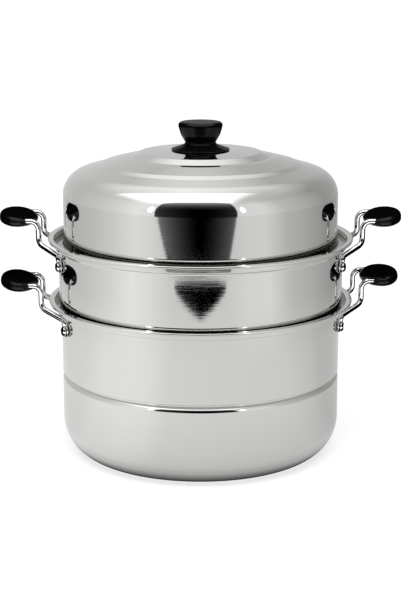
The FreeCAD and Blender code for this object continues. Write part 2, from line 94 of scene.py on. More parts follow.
FLANGE_BEND = 2.15 * MM         # lid's flange into its wall
SHOULDER_DROP = 24.7 * MM       # lid's top to the corner that its shoulder rounds off
LEG_GAP = 4.2 * MM              # edge of the brim to the standing leg of a handle
LEG_RISE = 18.5 * MM            # rim to the run into the grip
GRIP_REACH = 22.0 * MM          # leg to the middle of the grip
LEG_END = 4.0 * MM              # rim down to where the leg turns in
FOOT_TURN = 13.5 * MM           # rim down to where the wire turns down the wall
FOOT_TOP = 18.0 * MM            # rim down to the end of the round wire
WIRE_BENDS = [9 * MM, 8 * MM, 8 * MM, 5 * MM]   # from the grip to the foot
GRIP_EDGE = 5.2 * MM            # rounding of the grip's edges
GRIP_TAPER = 0.18               # share of the grip's thickness lost from its outer end to its middle
GRIP_TILT = math.radians(-7.0)  # outer end up
RIVET_DROP = 24.0 * MM          # rim down to the rivets
RIVET_INSIDE = 2.3 * MM         # wall's outer face in to the end of a rivet's tail

# The pressed foot below the round wire, in mm: drop from the rim, width, thickness
FOOT_RINGS = [
    (19.2, 7.4, 4.6), (20.4, 9.6, 3.8), (21.8, 11.4, 3.2), (23.2, 12.0, 3.0), (24.8, 11.9, 3.0),
    (26.0, 11.3, 3.0), (28.0, 8.9, 3.0), (29.2, 6.0, 2.9), (29.8, 3.1, 2.5),
]

# A rivet from tail to head, in mm: radius, height, bend
RIVET = [
    (0.0, 0.0, 0.0), (4.5, 0.0, 0.3), (4.5, 0.8, 0.3), (2.5, 0.8, 0.0), (2.5, 5.4, 0.0), (5.0, 5.4, 0.2),
    (5.0, 8.6, 2.9), (0.0, 8.6, 0.0),
]

# The knob from its bore to the middle of its top, in mm: radius, height above the lid, bend
KNOB = [
    (4.3, 14.0, 0.0), (4.3, 0.0, 0.4), (28.9, 0.0, 0.2), (28.9, 0.7, 0.2), (18.6, 4.3, 6.0), (14.6, 6.5, 2.0),
    (19.6, 15.0, 18.0), (23.1, 27.49, 3.4), (18.6, 27.49, 2.0), (0.0, 26.6, 0.0),
]

# The lid from its shoulder over its two steps to the screw's hole, in mm: radius, drop from the top, bend
LID_TOP = [
    (101.9, 14.8, 7.0), (96.5, 12.2, 7.0), (74.7, 6.8, 20.0), (69.5, 6.3, 7.0), (59.6, 1.9, 7.0),
    (16.0, 0.0, 20.0), (2.6, 0.0, 0.0),
]

CAMERA_LENS = 89.3              # mm, on a 36 mm frame
CAMERA_PITCH = 13.6             # degrees down
CAMERA_DISTANCE = 1.5173        # metres to the point it aims at
CAMERA_AIM = 0.1517             # height of that point

FLOOR = 30.0                    # radius of the studio floor, in metres
TENT = 5.0                      # radius of the light tent, in metres
# Glow of the cloth round the pot, in degrees from the camera's side to the right
TENT_LEVELS = [
    (-180, 0.66), (-168, 0.72), (-160, 0.74), (-124, 0.74), (-94, 0.87), (-72, 1.03), (-52, 1.24),
    (-42, 1.17), (-20, 0.94), (20, 0.94), (34, 1.05), (52, 1.08), (71, 0.77), (94, 0.64), (122, 0.44),
    (148, 0.48), (168, 0.58), (180, 0.66),
]
# Glow of the tent's roof, by metres to the right
ROOF_LEVELS = [(-4.2, 0.78), (-2.0, 1.12), (-0.4, 1.4), (0.6, 1.25), (2.0, 0.85), (4.0, 0.62)]
# Glow of the groundsheet near the pot, in the same degrees
APRON_LEVELS = [
    (-180, 0.75), (-126, 0.91), (-109, 0.99), (-93, 1.05), (-75, 1.17), (-50, 1.2), (-35, 1.15), (-21, 1.03),
    (0, 1.0), (20, 0.98), (50, 0.965), (66, 0.935), (86, 0.83), (100, 0.72), (124, 0.68), (180, 0.75),
]
# Share of either glow left by the pot's own shade and by the felt, by metres from the pot's axis
SHADE_LEVELS = [
    (0.125, 0.08), (0.13, 0.32), (0.134, 0.56), (0.138, 0.67), (0.143, 0.75), (0.147, 0.8), (0.151, 0.84),
    (0.16, 0.875), (0.34, 1.02), (1.06, 1.02), (1.16, 0.93), (2.3, 0.93), (2.8, 1.02),
]


# Sizes and colours that a user would change


def length(name, description, millimetres):
    return FloatProperty(
        name=name, description=description, default=millimetres * MM, min=0.0, unit="LENGTH", precision=5
    )


def angle(name, description, degrees):
    return FloatProperty(name=name, description=description, default=math.radians(degrees), subtype="ANGLE")


def amount(name, description, value):
    return FloatProperty(
        name=name, description=description, default=value, min=0.0, max=1.0, subtype="FACTOR"
    )


def colour(name, description, hex_code):
    return FloatVectorProperty(
        name=name, description=description, default=linear(hex_code), size=4, min=0.0, max=1.0,
        subtype="COLOR",
    )


def linear(hex_code):
    """An sRGB hex colour as linear red, green, blue and alpha."""
    channels = [int(hex_code[i:i + 2], 16) / 255 for i in (1, 3, 5)]
    return (*[c / 12.92 if c <= 0.04045 else ((c + 0.055) / 1.055) ** 2.4 for c in channels], 1.0)


class SteamerPotSizes(bpy.types.PropertyGroup):
    """Sizes of the shells, the handles and the knob"""

    gauge: length("Sheet gauge", "Thickness of every pressed shell", 0.7)
    pot_radius: length("Pot radius", "Inside radius of the pot", 140.0)
    pot_rim: length("Pot rim", "Height of the pot's rim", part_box("pot_body")[1][2] / MM)
    heel_radius: length("Heel radius", "Where the base turns up into the heel", 121.2)
    heel_rise: length("Heel rise", "Base to the height where the heel meets the wall", 16.6)
    base_bend: length("Base corner", "Bend between heel and wall", 38.95)
    ridge_height: length("Ridge height", "Middle of the ridge that carries the steam plate", 80.9)
    ridge_width: length("Ridge width", "Height of the ridge's groove", 5.2)
    ridge_depth: length("Ridge depth", "Depth of the ridge's groove", 3.2)
    ridge_flank: length("Ridge flank", "Height of the ridge's sloping underside", 3.2)
    ledge: length("Ledge width", "Pot wall to recess wall", 7.0)
    recess: length("Recess depth", "Rim to ledge", 7.5)
    lip_width: length("Lip width", "Recess wall to the edge of the brim", 6.2)
    lip_height: length("Lip height", "Edge of the brim, folded under", 2.7)
    steamer_rim: length("Steamer rim", "Height of the steamer's rim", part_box("steamer_body")[1][2] / MM)
    steamer_floor: length("Steamer floor", "Underside of its floor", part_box("steamer_body")[0][2] / MM)
    floor_hole: length("Steam hole", "Diameter of a steam hole", 8.0)
    floor_pitch: length("Hole pitch", "Spacing of the rings of steam holes", 22.0)
    lid_top: length("Lid top", "Height of the flat under the knob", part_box("lid_shell")[1][2] / MM)
    lid_shoulder: length("Lid shoulder", "Bend between the lid's wall and its top", 25.55)
    wire: length("Handle wire", "Diameter of the handle's wire", 5.5)
    leg_spread: length("Leg spread", "Distance between a handle's legs", 52.0)
    grip_length: length("Grip length", "Grip along the rim", 68.0)
    grip_width: length("Grip width", "Grip away from the rim", 37.96)
    grip_gauge: length("Grip thickness", "Thickness of the grip's outer end", 12.0)
    foot_angle: angle("Foot angle", "Foot of the wire, round the wall from the handle's middle", 17.0)
    pot_turn: angle("Pot turn", "How far the pot stands turned under the steamer", 4.0)


class SteamerPotFinish(bpy.types.PropertyGroup):
    """Colours and polish"""

    steel: colour("Stainless steel", "Colour of the pressed sheet", "#CBCBC9")
    # Painted shade: this darker colour greys the steel down in the two seats, in place of the shade that
    # falls in the recesses
    seat: colour("Seat steel", "Colour of the sheet down in the seats, out of the belt's reach", "#8E8E8C")
    wire: colour("Wire", "Colour of the polished wire and rivets", "#E2E2E1")
    plastic: colour("Phenolic", "Colour of the grips and the knob", "#050506")
    brass: colour("Brass", "Colour of the knob's insert", "#C9A45C")
    polish: amount("Sheet roughness", "Mean roughness of the pressed sheet", 0.05)


def sizes():
    return bpy.context.scene.steamer_pot_sizes


def finish():
    return bpy.context.scene.steamer_pot_finish


# Materials


def add_node(tree, kind, inputs=None, **settings):
    """Adds a node with its settings. An input takes a value, an output, or a node for its first output."""
    node = tree.nodes.new(kind)
    for key, value in settings.items():
        setattr(node, key, value)
    for key, value in (inputs or {}).items():
        if isinstance(value, bpy.types.Node):
            value = value.outputs[0]
        if isinstance(value, bpy.types.NodeSocket):
            tree.links.new(value, node.inputs[key])
        else:
            node.inputs[key].default_value = value
    return node


def new_material(name):
    """An empty node material and its tree, or None for the tree if it is there already."""
    if name in bpy.data.materials:
        return bpy.data.materials[name], None
    material = bpy.data.materials.new(name)
    material.use_nodes = True
    material.node_tree.nodes.clear()
    return material, material.node_tree


def turned_place(tree, place, spacing, around):
    """Coordinates for marks that run round the axis: radius and height count in the spacing of the
    marks, and the third axis drifts slowly along each mark."""
    xyz = add_node(tree, "ShaderNodeSeparateXYZ", {"Vector": place}).outputs
    flat = add_node(tree, "ShaderNodeCombineXYZ", {"X": xyz["X"], "Y": xyz["Y"]})
    radius = add_node(tree, "ShaderNodeVectorMath", {0: flat}, operation="LENGTH").outputs["Value"]
    drift = add_node(tree, "ShaderNodeVectorMath", {0: place, 1: (1.0, 0.6, 0.0)}, operation="DOT_PRODUCT")
    joined = add_node(tree, "ShaderNodeCombineXYZ", {"X": radius, "Y": xyz["Z"], "Z": drift.outputs["Value"]})
    scale = (1 / spacing, 1 / spacing, 1 / around)
    return add_node(tree, "ShaderNodeVectorMath", {0: joined, 1: scale}, operation="MULTIPLY")


def painted_seat_shade(tree, place):
    """One down in the two seats, where painted shade greys the steel in place of the shade that falls in the
    recesses, and nought elsewhere.
    """
    s = sizes()
    xyz = add_node(tree, "ShaderNodeSeparateXYZ", {"Vector": place}).outputs
    level = add_node(tree, "ShaderNodeVectorMath", {0: place, 1: (1.0, 1.0, 0.0)}, operation="MULTIPLY")
    radius = add_node(tree, "ShaderNodeVectorMath", {0: level}, operation="LENGTH").outputs["Value"]
    band = s.pot_radius + s.ledge + s.gauge / 2
    inside = add_node(tree, "ShaderNodeMath", {0: radius, 1: band}, operation="LESS_THAN")
    shade_depths = []
    for rim in (s.pot_rim, s.steamer_rim):
        depth = add_node(tree, "ShaderNodeMapRange", {
            "Value": xyz["Z"], "From Min": rim - PAINTED_SEAT_SHADE_FADE[0], "From Max": rim - PAINTED_SEAT_SHADE_FADE[1],
        })
        bottom = rim - s.recess - s.gauge / 2
        above = add_node(tree, "ShaderNodeMath", {0: xyz["Z"], 1: bottom}, operation="GREATER_THAN")
        shade_depths.append(add_node(tree, "ShaderNodeMath", {0: depth, 1: above}, operation="MULTIPLY"))
    either = add_node(tree, "ShaderNodeMath", {0: shade_depths[0], 1: shade_depths[1]}, operation="ADD")
    return add_node(tree, "ShaderNodeMath", {0: inside, 1: either}, operation="MULTIPLY")


def belted_steel(name, smooth, rough, line_depth):
    """Cold-rolled stainless sheet, spun and polished on a fine belt: the belt leaves hair lines round the
    axis, which fray the edges of a reflection, and handling leaves broad, faint clouds. Real hair lines
    are about 0.1 mm apart; these are 0.9 mm, so that they show."""
    material, tree = new_material(name)
    if tree:
        place = add_node(tree, "ShaderNodeTexCoord").outputs["Object"]
        lines_at = turned_place(tree, place, spacing=0.9 * MM, around=60 * MM)
        lines = add_node(tree, "ShaderNodeTexNoise", {
            "Vector": lines_at, "Scale": 1.0, "Detail": 2.0, "Roughness": 0.6,
        })
        clouds = add_node(tree, "ShaderNodeTexNoise", {
            "Vector": place, "Scale": 1 / (45 * MM), "Detail": 3.0, "Roughness": 0.55,
        })
        wear = add_node(tree, "ShaderNodeMath", {0: lines, 1: clouds}, operation="MULTIPLY")
        polish = add_node(tree, "ShaderNodeMapRange", {
            "Value": wear, "From Min": 0.12, "From Max": 0.42, "To Min": smooth, "To Max": rough,
        })
        relief = add_node(tree, "ShaderNodeBump", {"Height": lines, "Strength": 1.0, "Distance": line_depth})
        # Painted shade: down in the seats the steel turns to the darker seat colour, where the recesses fall
        # into shade
        steel_and_seat_shade = add_node(tree, "ShaderNodeMix", {
            0: painted_seat_shade(tree, place), 6: finish().steel, 7: finish().seat,
        }, data_type="RGBA").outputs[2]
        steel = add_node(tree, "ShaderNodeBsdfPrincipled", {
            "Base Color": steel_and_seat_shade, "Metallic": 1.0, "Roughness": polish, "Normal": relief,
        })
        add_node(tree, "ShaderNodeOutputMaterial", {"Surface": steel})
    return material


def sheet_steel():
    """The outside of the shells, bright enough to mirror the room."""
    mean = finish().polish
    return belted_steel("stainless, belt polished", mean * 0.6, mean * 1.4, 0.006 * MM)


def satin_steel():
    """The same sheet left satin, for the plate, the burrs and the knob's screw and washer."""
    return belted_steel("stainless, satin", 0.24, 0.36, 0.008 * MM)


def drawn_steel():
    """Bright-drawn stainless wire, tumbled: a near mirror with faint draw marks and finger smears."""
    material, tree = new_material("stainless, bright drawn")
    if tree:
        place = add_node(tree, "ShaderNodeTexCoord").outputs["Object"]
        smears = add_node(tree, "ShaderNodeTexNoise", {
            "Vector": place, "Scale": 1 / (7 * MM), "Detail": 3.0, "Roughness": 0.6,
        })
        polish = add_node(tree, "ShaderNodeMapRange", {
            "Value": smears, "From Min": 0.3, "From Max": 0.7, "To Min": 0.06, "To Max": 0.16,
        })
        relief = add_node(tree, "ShaderNodeBump", {"Height": smears, "Strength": 0.6, "Distance": 0.02 * MM})
        steel = add_node(tree, "ShaderNodeBsdfPrincipled", {
            "Base Color": finish().wire, "Metallic": 1.0, "Roughness": polish, "Normal": relief,
        })
        add_node(tree, "ShaderNodeOutputMaterial", {"Surface": steel})
    return material


def black_phenolic():
    """Compression-moulded phenolic, jet black: a hard gloss with the mould's slight ripple, and a finer,
    duller grain where it is handled."""
    material, tree = new_material("phenolic, moulded black")
    if tree:
        place = add_node(tree, "ShaderNodeTexCoord").outputs["Object"]
        ripple = add_node(tree, "ShaderNodeTexNoise", {
            "Vector": place, "Scale": 1 / (5 * MM), "Detail": 1.0, "Roughness": 0.4,
        })
        grain = add_node(tree, "ShaderNodeTexNoise", {
            "Vector": place, "Scale": 1 / (0.6 * MM), "Detail": 2.0, "Roughness": 0.6,
        })
        gloss = add_node(tree, "ShaderNodeMapRange", {
            "Value": grain, "From Min": 0.3, "From Max": 0.7, "To Min": 0.16, "To Max": 0.34,
        })
        relief = add_node(tree, "ShaderNodeBump", {"Height": ripple, "Strength": 0.5, "Distance": 0.05 * MM})
        plastic = add_node(tree, "ShaderNodeBsdfPrincipled", {
            "Base Color": finish().plastic, "Roughness": gloss, "IOR": 1.5, "Specular IOR Level": 0.25,
            "Normal": relief,
        })
        add_node(tree, "ShaderNodeOutputMaterial", {"Surface": plastic})
    return material


def turned_brass():
    """Free-cutting brass turned on a lathe: fine tool rings and a warm, slightly dull shine."""
    material, tree = new_material("brass, turned")
    if tree:
        place = add_node(tree, "ShaderNodeTexCoord").outputs["Object"]
        rings_at = turned_place(tree, place, spacing=0.3 * MM, around=20 * MM)
        rings = add_node(tree, "ShaderNodeTexNoise", {"Vector": rings_at, "Scale": 1.0, "Detail": 1.0})
        polish = add_node(tree, "ShaderNodeMapRange", {
            "Value": rings, "From Min": 0.3, "From Max": 0.7, "To Min": 0.2, "To Max": 0.4,
        })
        relief = add_node(tree, "ShaderNodeBump", {"Height": rings, "Strength": 1.0, "Distance": 0.01 * MM})
        brass = add_node(tree, "ShaderNodeBsdfPrincipled", {
            "Base Color": finish().brass, "Metallic": 1.0, "Roughness": polish, "Normal": relief,
        })
        add_node(tree, "ShaderNodeOutputMaterial", {"Surface": brass})
    return material


# Shapes


def follow(bm, front, points, bends, steps=8):
    """Draws a vertex or a ring along straight runs, with a round bend of its own radius at each inner
    point (zero for a sharp corner), and returns where it ends."""
    points = [Vector(p) for p in points]
    start = points[0]
    for before_point, corner, after_point, bend in zip(points, points[1:], points[2:], bends):
        before = (corner - before_point).normalized()
        after = (after_point - corner).normalized()
        turn = before.angle(after)
        axis = before.cross(after).normalized()
        cut = bend * math.tan(turn / 2)
        front = straight(bm, front, corner - before * cut - start)
        if bend > 0:
            centre = corner - before * cut + axis.cross(before) * bend
            front = bmesh.ops.spin(
                bm, geom=front, cent=centre, axis=axis, angle=turn, steps=steps
            )["geom_last"]
        start = corner + after * cut
    return straight(bm, front, points[-1] - start)


def straight(bm, front, step):
    """A straight run with a narrow band at each end, so that the bends don't tilt its shading."""
    band = step.normalized() * min(FLAT_BAND, step.length / 4)
    for part in (band, step - 2 * band, band):
        front = run(bm, front, part)
    return front


def run(bm, front, step):
    return bmesh.ops.spin(bm, geom=front, axis=(0, 0, 1), angle=0.0, dvec=step, steps=1)["geom_last"]


def lathe(bm, profile, steps=TURNS, bend_steps=8):
    """Turns a profile of (radius, height, bend) about Z. A bend rounds its corner."""
    points = [(r, 0.0, z) for r, z, _ in profile]
    start = bm.verts.new(points[0])
    follow(bm, [start], points, [bend for _, _, bend in profile[1:-1]], bend_steps)
    bmesh.ops.spin(
        bm, geom=bm.verts[:] + bm.edges[:], axis=(0, 0, 1), angle=math.tau, steps=steps, use_merge=True
    )
    bmesh.ops.remove_doubles(bm, verts=bm.verts, dist=0.002 * MM)
    face_outwards(bm)


def face_outwards(bm):
    """Turns every face outwards, on an open shell too."""
    bmesh.ops.recalc_face_normals(bm, faces=bm.faces)
    if bm.calc_volume(signed=True) < 0.0:
        bmesh.ops.reverse_faces(bm, faces=bm.faces)


def thicken(bm, gauge):
    """Gives a shell its gauge on the side away from its normals."""
    bmesh.ops.solidify(bm, geom=bm.faces[:], thickness=gauge)


def add_piece(bm, name, body, slot, material, *nodes):
    """Makes the mesh a smooth-shaded piece that rides on its body and stands for its CAD nodes."""
    for face in bm.faces:
        face.smooth = True
    for edge in bm.edges:
        edge.smooth = len(edge.link_faces) == 2 and edge.calc_face_angle() < SHARP
    mesh = bpy.data.meshes.new(name)
    bm.to_mesh(mesh)
    bm.free()
    piece = bpy.data.objects.new(name, mesh)
    bpy.context.scene.collection.objects.link(piece)
    piece.data.materials.append(material)
    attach(piece, body)
    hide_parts(*nodes)
    return piece


def rim_profile(wall, rim, fillet):
    """The top of a vessel: wall, ledge, rim band and a brim folded under, as its outer face runs."""
    s = sizes()
    band = s.pot_radius + s.ledge + s.gauge
    edge = band - s.gauge + s.lip_width - s.gauge
    ledge, brim, fold = rim - s.recess - s.gauge, rim - s.gauge, rim - s.lip_height + s.gauge
    return [
        (wall, ledge, fillet),
        (band, ledge, WIDE),
        (band, brim, WIDE),
        (edge, brim, FOLD),
        (edge, fold, FOLD),
        (band + FOLD_OPENING, fold, 0.0),
    ]


class STEAMERPOT_OT_pot(bpy.types.Operator):
    """Add the pot's pressed shell"""

    bl_idname = "steamer_pot.pot"
    bl_label = "Pot"

    def execute(self, context):
        s = sizes()
        wall = s.pot_radius + s.gauge
        groove = wall - s.ridge_depth
        low, high = s.ridge_height - s.ridge_width / 2, s.ridge_height + s.ridge_width / 2
        bm = bmesh.new()
        lathe(bm, [
            (0.0, 0.0, 0.0),
            (s.heel_radius, 0.0, HEEL),
            (wall, s.heel_rise, s.base_bend),
            (wall, low, FLANK),
            (groove, low + s.ridge_flank, TIGHT),
            (groove, high, TIGHT),
            (wall, high, WIDE),
        ] + rim_profile(wall, s.pot_rim, TIGHT), bend_steps=12)
        thicken(bm, s.gauge)
        add_piece(bm, "pot_shell", "pot", "stainless_sheet", sheet_steel(), "pot_body")
        return {"FINISHED"}


class STEAMERPOT_OT_steamer(bpy.types.Operator):
    """Add the steamer's shell with its perforated floor"""

    bl_idname = "steamer_pot.steamer"
    bl_label = "Steamer"

    def execute(self, context):
        s = sizes()
        skirt = s.pot_radius - SKIRT_GAP
        wall = skirt + SHOULDER_WIDTH
        seat = s.pot_rim - s.recess
        solid_from = HOLE_RINGS * s.floor_pitch + s.floor_hole
        bm = bmesh.new()
        lathe(bm, [
            (solid_from, s.steamer_floor, 0.0),
            (skirt, s.steamer_floor, SKIRT_BEND),
            (skirt, seat, TIGHT),
            (wall, seat, WIDE),
        ] + rim_profile(wall, s.steamer_rim, LEDGE_FILLET), bend_steps=10)
        edges = [e for e in bm.edges if e.is_boundary and all(v.co.z < s.steamer_floor + MM for v in e.verts)]
        for ring in range(1, HOLE_RINGS + 1):
            holes = HOLES_PER_RING * ring
            for number in range(holes):
                turn = Matrix.Rotation(math.tau * number / holes, 4, "Z")
                place = turn @ Matrix.Translation((ring * s.floor_pitch, 0.0, s.steamer_floor))
                hole = bmesh.ops.create_circle(bm, segments=18, radius=s.floor_hole / 2, matrix=place)
                edges += list({e for v in hole["verts"] for e in v.link_edges})
        bmesh.ops.triangle_fill(bm, edges=edges, use_beauty=True, normal=(0, 0, -1))
        face_outwards(bm)
        thicken(bm, s.gauge)
        add_piece(bm, "steamer_shell", "steamer", "stainless_sheet", sheet_steel(), "steamer_body")
        return {"FINISHED"}


class STEAMERPOT_OT_lid(bpy.types.Operator):
    """Add the lid's pressed shell"""

    bl_idname = "steamer_pot.lid"
    bl_label = "Lid"

    def execute(self, context):
        s = sizes()
        recess = s.pot_radius + s.ledge
        wall = recess - LID_INSET
        flange = s.steamer_rim - s.recess + s.gauge
        top = [(r * MM, s.lid_top - drop * MM, bend * MM) for r, drop, bend in LID_TOP]
        bm = bmesh.new()
        lathe(bm, [
            (recess - LID_GAP, flange, 0.0),
            (wall, flange, FLANGE_BEND),
            (wall, s.lid_top - SHOULDER_DROP, s.lid_shoulder),
        ] + top, bend_steps=14)
        thicken(bm, s.gauge)
        add_piece(bm, "lid_skin", "lid", "stainless_sheet", sheet_steel(), "lid_shell")
        return {"FINISHED"}


class STEAMERPOT_OT_knob(bpy.types.Operator):
    """Add the lid's moulded knob"""

    bl_idname = "steamer_pot.knob"
    bl_label = "Knob"

    def execute(self, context):
        s = sizes()
        outline = [(r * MM, s.lid_top + z * MM, bend * MM) for r, z, bend in KNOB]
        bm = bmesh.new()
        lathe(bm, outline, steps=96, bend_steps=10)
        bmesh.ops.holes_fill(bm, edges=[e for e in bm.edges if e.is_boundary])
        face_outwards(bm)
        add_piece(bm, "moulded_knob", "lid", "phenolic", black_phenolic(), "lid_knob")
        return {"FINISHED"}


class Vessel:
    """Where a vessel's handles go: its rim, its wall and the way it stands turned."""

    def __init__(self, name):
        s = sizes()
        pot = name == "pot"
        self.name = name
        self.rim = s.pot_rim if pot else s.steamer_rim
        self.wall = s.pot_radius + (s.gauge if pot else STEAMER_STEP)
        self.turn = s.pot_turn if pot else 0.0

    def facing(self, side):
        return Matrix.Rotation(HANDLES[side] + self.turn, 4, "Z")

    def on_wall(self, radius, drop):
        """Frame at a foot of a handle that faces +X: X outwards, Z up, the given drop below the rim."""
        place = Matrix.Translation((radius, 0.0, self.rim - drop))
        return Matrix.Rotation(sizes().foot_angle, 4, "Z") @ place


def handles():
    """Each vessel with each of its sides, and the name that their nodes share."""
    for name in ("pot", "steamer"):
        for side in HANDLES:
            yield Vessel(name), side, f"{name}_{side}"


def both_feet(bm):
    """Adds the mirror image across the handle's middle."""
    bmesh.ops.mirror(bm, geom=bm.verts[:] + bm.edges[:] + bm.faces[:], axis="Y", merge_dist=0.01 * MM)
    bmesh.ops.holes_fill(bm, edges=[e for e in bm.edges if e.is_boundary])
    face_outwards(bm)


class STEAMERPOT_OT_wires(bpy.types.Operator):
    """Add the four bent wires with their flattened feet"""

    bl_idname = "steamer_pot.wires"
    bl_label = "Handle wires"

    def execute(self, context):
        s = sizes()
        for vessel, side, name in handles():
            bm = bmesh.new()
            top = vessel.rim + LEG_RISE
            leg = s.pot_radius + s.ledge + s.lip_width + LEG_GAP + s.wire / 2
            grip, y = leg + GRIP_REACH, s.leg_spread / 2
            foot = vessel.on_wall(vessel.wall + FIT + s.wire / 2, FOOT_TOP).to_translation()
            middle = Matrix.Translation((grip, 0.0, top)) @ Matrix.Rotation(math.pi / 2, 4, "X")
            ring = bmesh.ops.create_circle(bm, segments=20, radius=s.wire / 2, matrix=middle)["verts"]
            front = ring + list({edge for vert in ring for edge in vert.link_edges})
            front = follow(bm, front, [
                (grip, 0.0, top),
                (grip, y, top),
                (leg, y, top),
                (leg, y, vessel.rim - LEG_END),
                (foot.x, foot.y, vessel.rim - FOOT_TURN),
                foot,
            ], WIRE_BENDS, steps=10)
            self.press_foot(bm, front, vessel)
            both_feet(bm)
            bmesh.ops.transform(bm, matrix=vessel.facing(side), verts=bm.verts)
            add_piece(
                bm, f"{name}_bent_wire", vessel.name, "stainless_wire", drawn_steel(), f"{name}_wire"
            )
        return {"FINISHED"}

    def press_foot(self, bm, front, vessel):
        """Flattens the wire's end against the wall, ring by ring, down to the rounded toe."""
        width = gauge = sizes().wire
        place = vessel.on_wall(vessel.wall + FIT + gauge / 2, FOOT_TOP)
        for drop, new_width, new_gauge in FOOT_RINGS:
            new_width, new_gauge = new_width * MM, new_gauge * MM
            new_place = vessel.on_wall(vessel.wall + FIT + new_gauge / 2, drop * MM)
            front = run(bm, front, new_place.to_translation() - place.to_translation())
            bmesh.ops.scale(
                bm, vec=(new_gauge / gauge, new_width / width, 1.0), space=new_place.inverted(),
                verts=[item for item in front if isinstance(item, bmesh.types.BMVert)],
            )
            place, width, gauge = new_place, new_width, new_gauge


class STEAMERPOT_OT_grips(bpy.types.Operator):
    """Add the four moulded oval grips"""

    bl_idname = "steamer_pot.grips"
    bl_label = "Grips"

    def execute(self, context):
        s = sizes()
        for vessel, side, name in handles():
            bm = bmesh.new()
            oval = Matrix.Diagonal((s.grip_width / 2, s.grip_length / 2, 1.0, 1.0))
            low = Matrix.Translation((0.0, 0.0, -s.grip_gauge / 2))
            bmesh.ops.create_circle(bm, cap_ends=True, segments=72, radius=1.0, matrix=low @ oval)
            raised = bmesh.ops.extrude_face_region(bm, geom=bm.faces[:])["geom"]
            bmesh.ops.translate(
                bm, vec=(0.0, 0.0, s.grip_gauge),
                verts=[item for item in raised if isinstance(item, bmesh.types.BMVert)],
            )
            level = [edge for edge in bm.edges if abs(edge.verts[0].co.z - edge.verts[1].co.z) < FIT]
            bmesh.ops.bevel(
                bm, geom=level, offset=GRIP_EDGE, offset_type="OFFSET", segments=9, profile=0.5,
                affect="EDGES", material=-1, clamp_overlap=True,
            )
            face_outwards(bm)
            for vert in bm.verts:
                vert.co.z *= 1.0 - GRIP_TAPER + GRIP_TAPER * vert.co.x / (s.grip_width / 2)
            centre = s.pot_radius + s.ledge + s.lip_width + LEG_GAP + s.wire / 2 + GRIP_REACH
            place = Matrix.Translation((centre, 0.0, vessel.rim + LEG_RISE))
            tilt = Matrix.Rotation(GRIP_TILT, 4, "Y")
            bmesh.ops.transform(bm, matrix=vessel.facing(side) @ place @ tilt, verts=bm.verts)
            add_piece(bm, f"{name}_oval_grip", vessel.name, "phenolic", black_phenolic(), f"{name}_grip")
        return {"FINISHED"}


class STEAMERPOT_OT_rivets(bpy.types.Operator):
    """Add the four pairs of rivets"""

    bl_idname = "steamer_pot.rivets"
    bl_label = "Rivets"

    def execute(self, context):
        for vessel, side, name in handles():
            bm = bmesh.new()
            lathe(bm, [(r * MM, z * MM, bend * MM) for r, z, bend in RIVET], steps=32)
            inside = vessel.on_wall(vessel.wall - RIVET_INSIDE, RIVET_DROP)
            bmesh.ops.transform(bm, matrix=inside @ Matrix.Rotation(math.pi / 2, 4, "Y"), verts=bm.verts)
            both_feet(bm)
            bmesh.ops.transform(bm, matrix=vessel.facing(side), verts=bm.verts)
            add_piece(
                bm, f"{name}_round_rivets", vessel.name, "rivet_steel", drawn_steel(), f"{name}_rivets"
            )
        return {"FINISHED"}


class STEAMERPOT_OT_fixings(bpy.types.Operator):
    """Finish the pieces that keep their own solids: plate, burrs, screw, washer and insert"""

    bl_idname = "steamer_pot.fixings"
    bl_label = "Plate and fixings"

    def execute(self, context):
        coats = {"steam_plate": satin_steel(), "knob_insert": turned_brass()}
        coats.update({"knob_screw": satin_steel(), "knob_washer": satin_steel()})
        coats.update({f"{name}_burrs": satin_steel() for _, _, name in handles()})
        for node, material in coats.items():
            for slot in frame["nodes"][node].material_slots:
                slot.material = material
        return {"FINISHED"}


# Studio


def background_rays(tree):
    """One on rays that come straight from the camera or off metal and glass, otherwise nought."""
    path = add_node(tree, "ShaderNodeLightPath").outputs
    eye = {0: path["Is Camera Ray"], 1: path["Is Glossy Ray"]}
    seen = add_node(tree, "ShaderNodeMath", eye, operation="MAXIMUM")
    return add_node(tree, "ShaderNodeMath", {0: seen, 1: path["Is Transmission Ray"]}, operation="MAXIMUM")


def pale_board():
    """Matt white studio board: it looks white and keeps the shadow of what stands on it."""
    material, tree = new_material("studio board, matt white")
    if tree:
        board = add_node(tree, "ShaderNodeBsdfDiffuse", {"Color": linear("#C8C8C8")})
        share = add_node(tree, "ShaderNodeMath", {0: background_rays(tree), 1: 0.6}, operation="MULTIPLY")
        glow = add_node(tree, "ShaderNodeEmission", {"Strength": share})
        both = add_node(tree, "ShaderNodeAddShader", {0: board, 1: glow})
        add_node(tree, "ShaderNodeOutputMaterial", {"Surface": both})
    return material


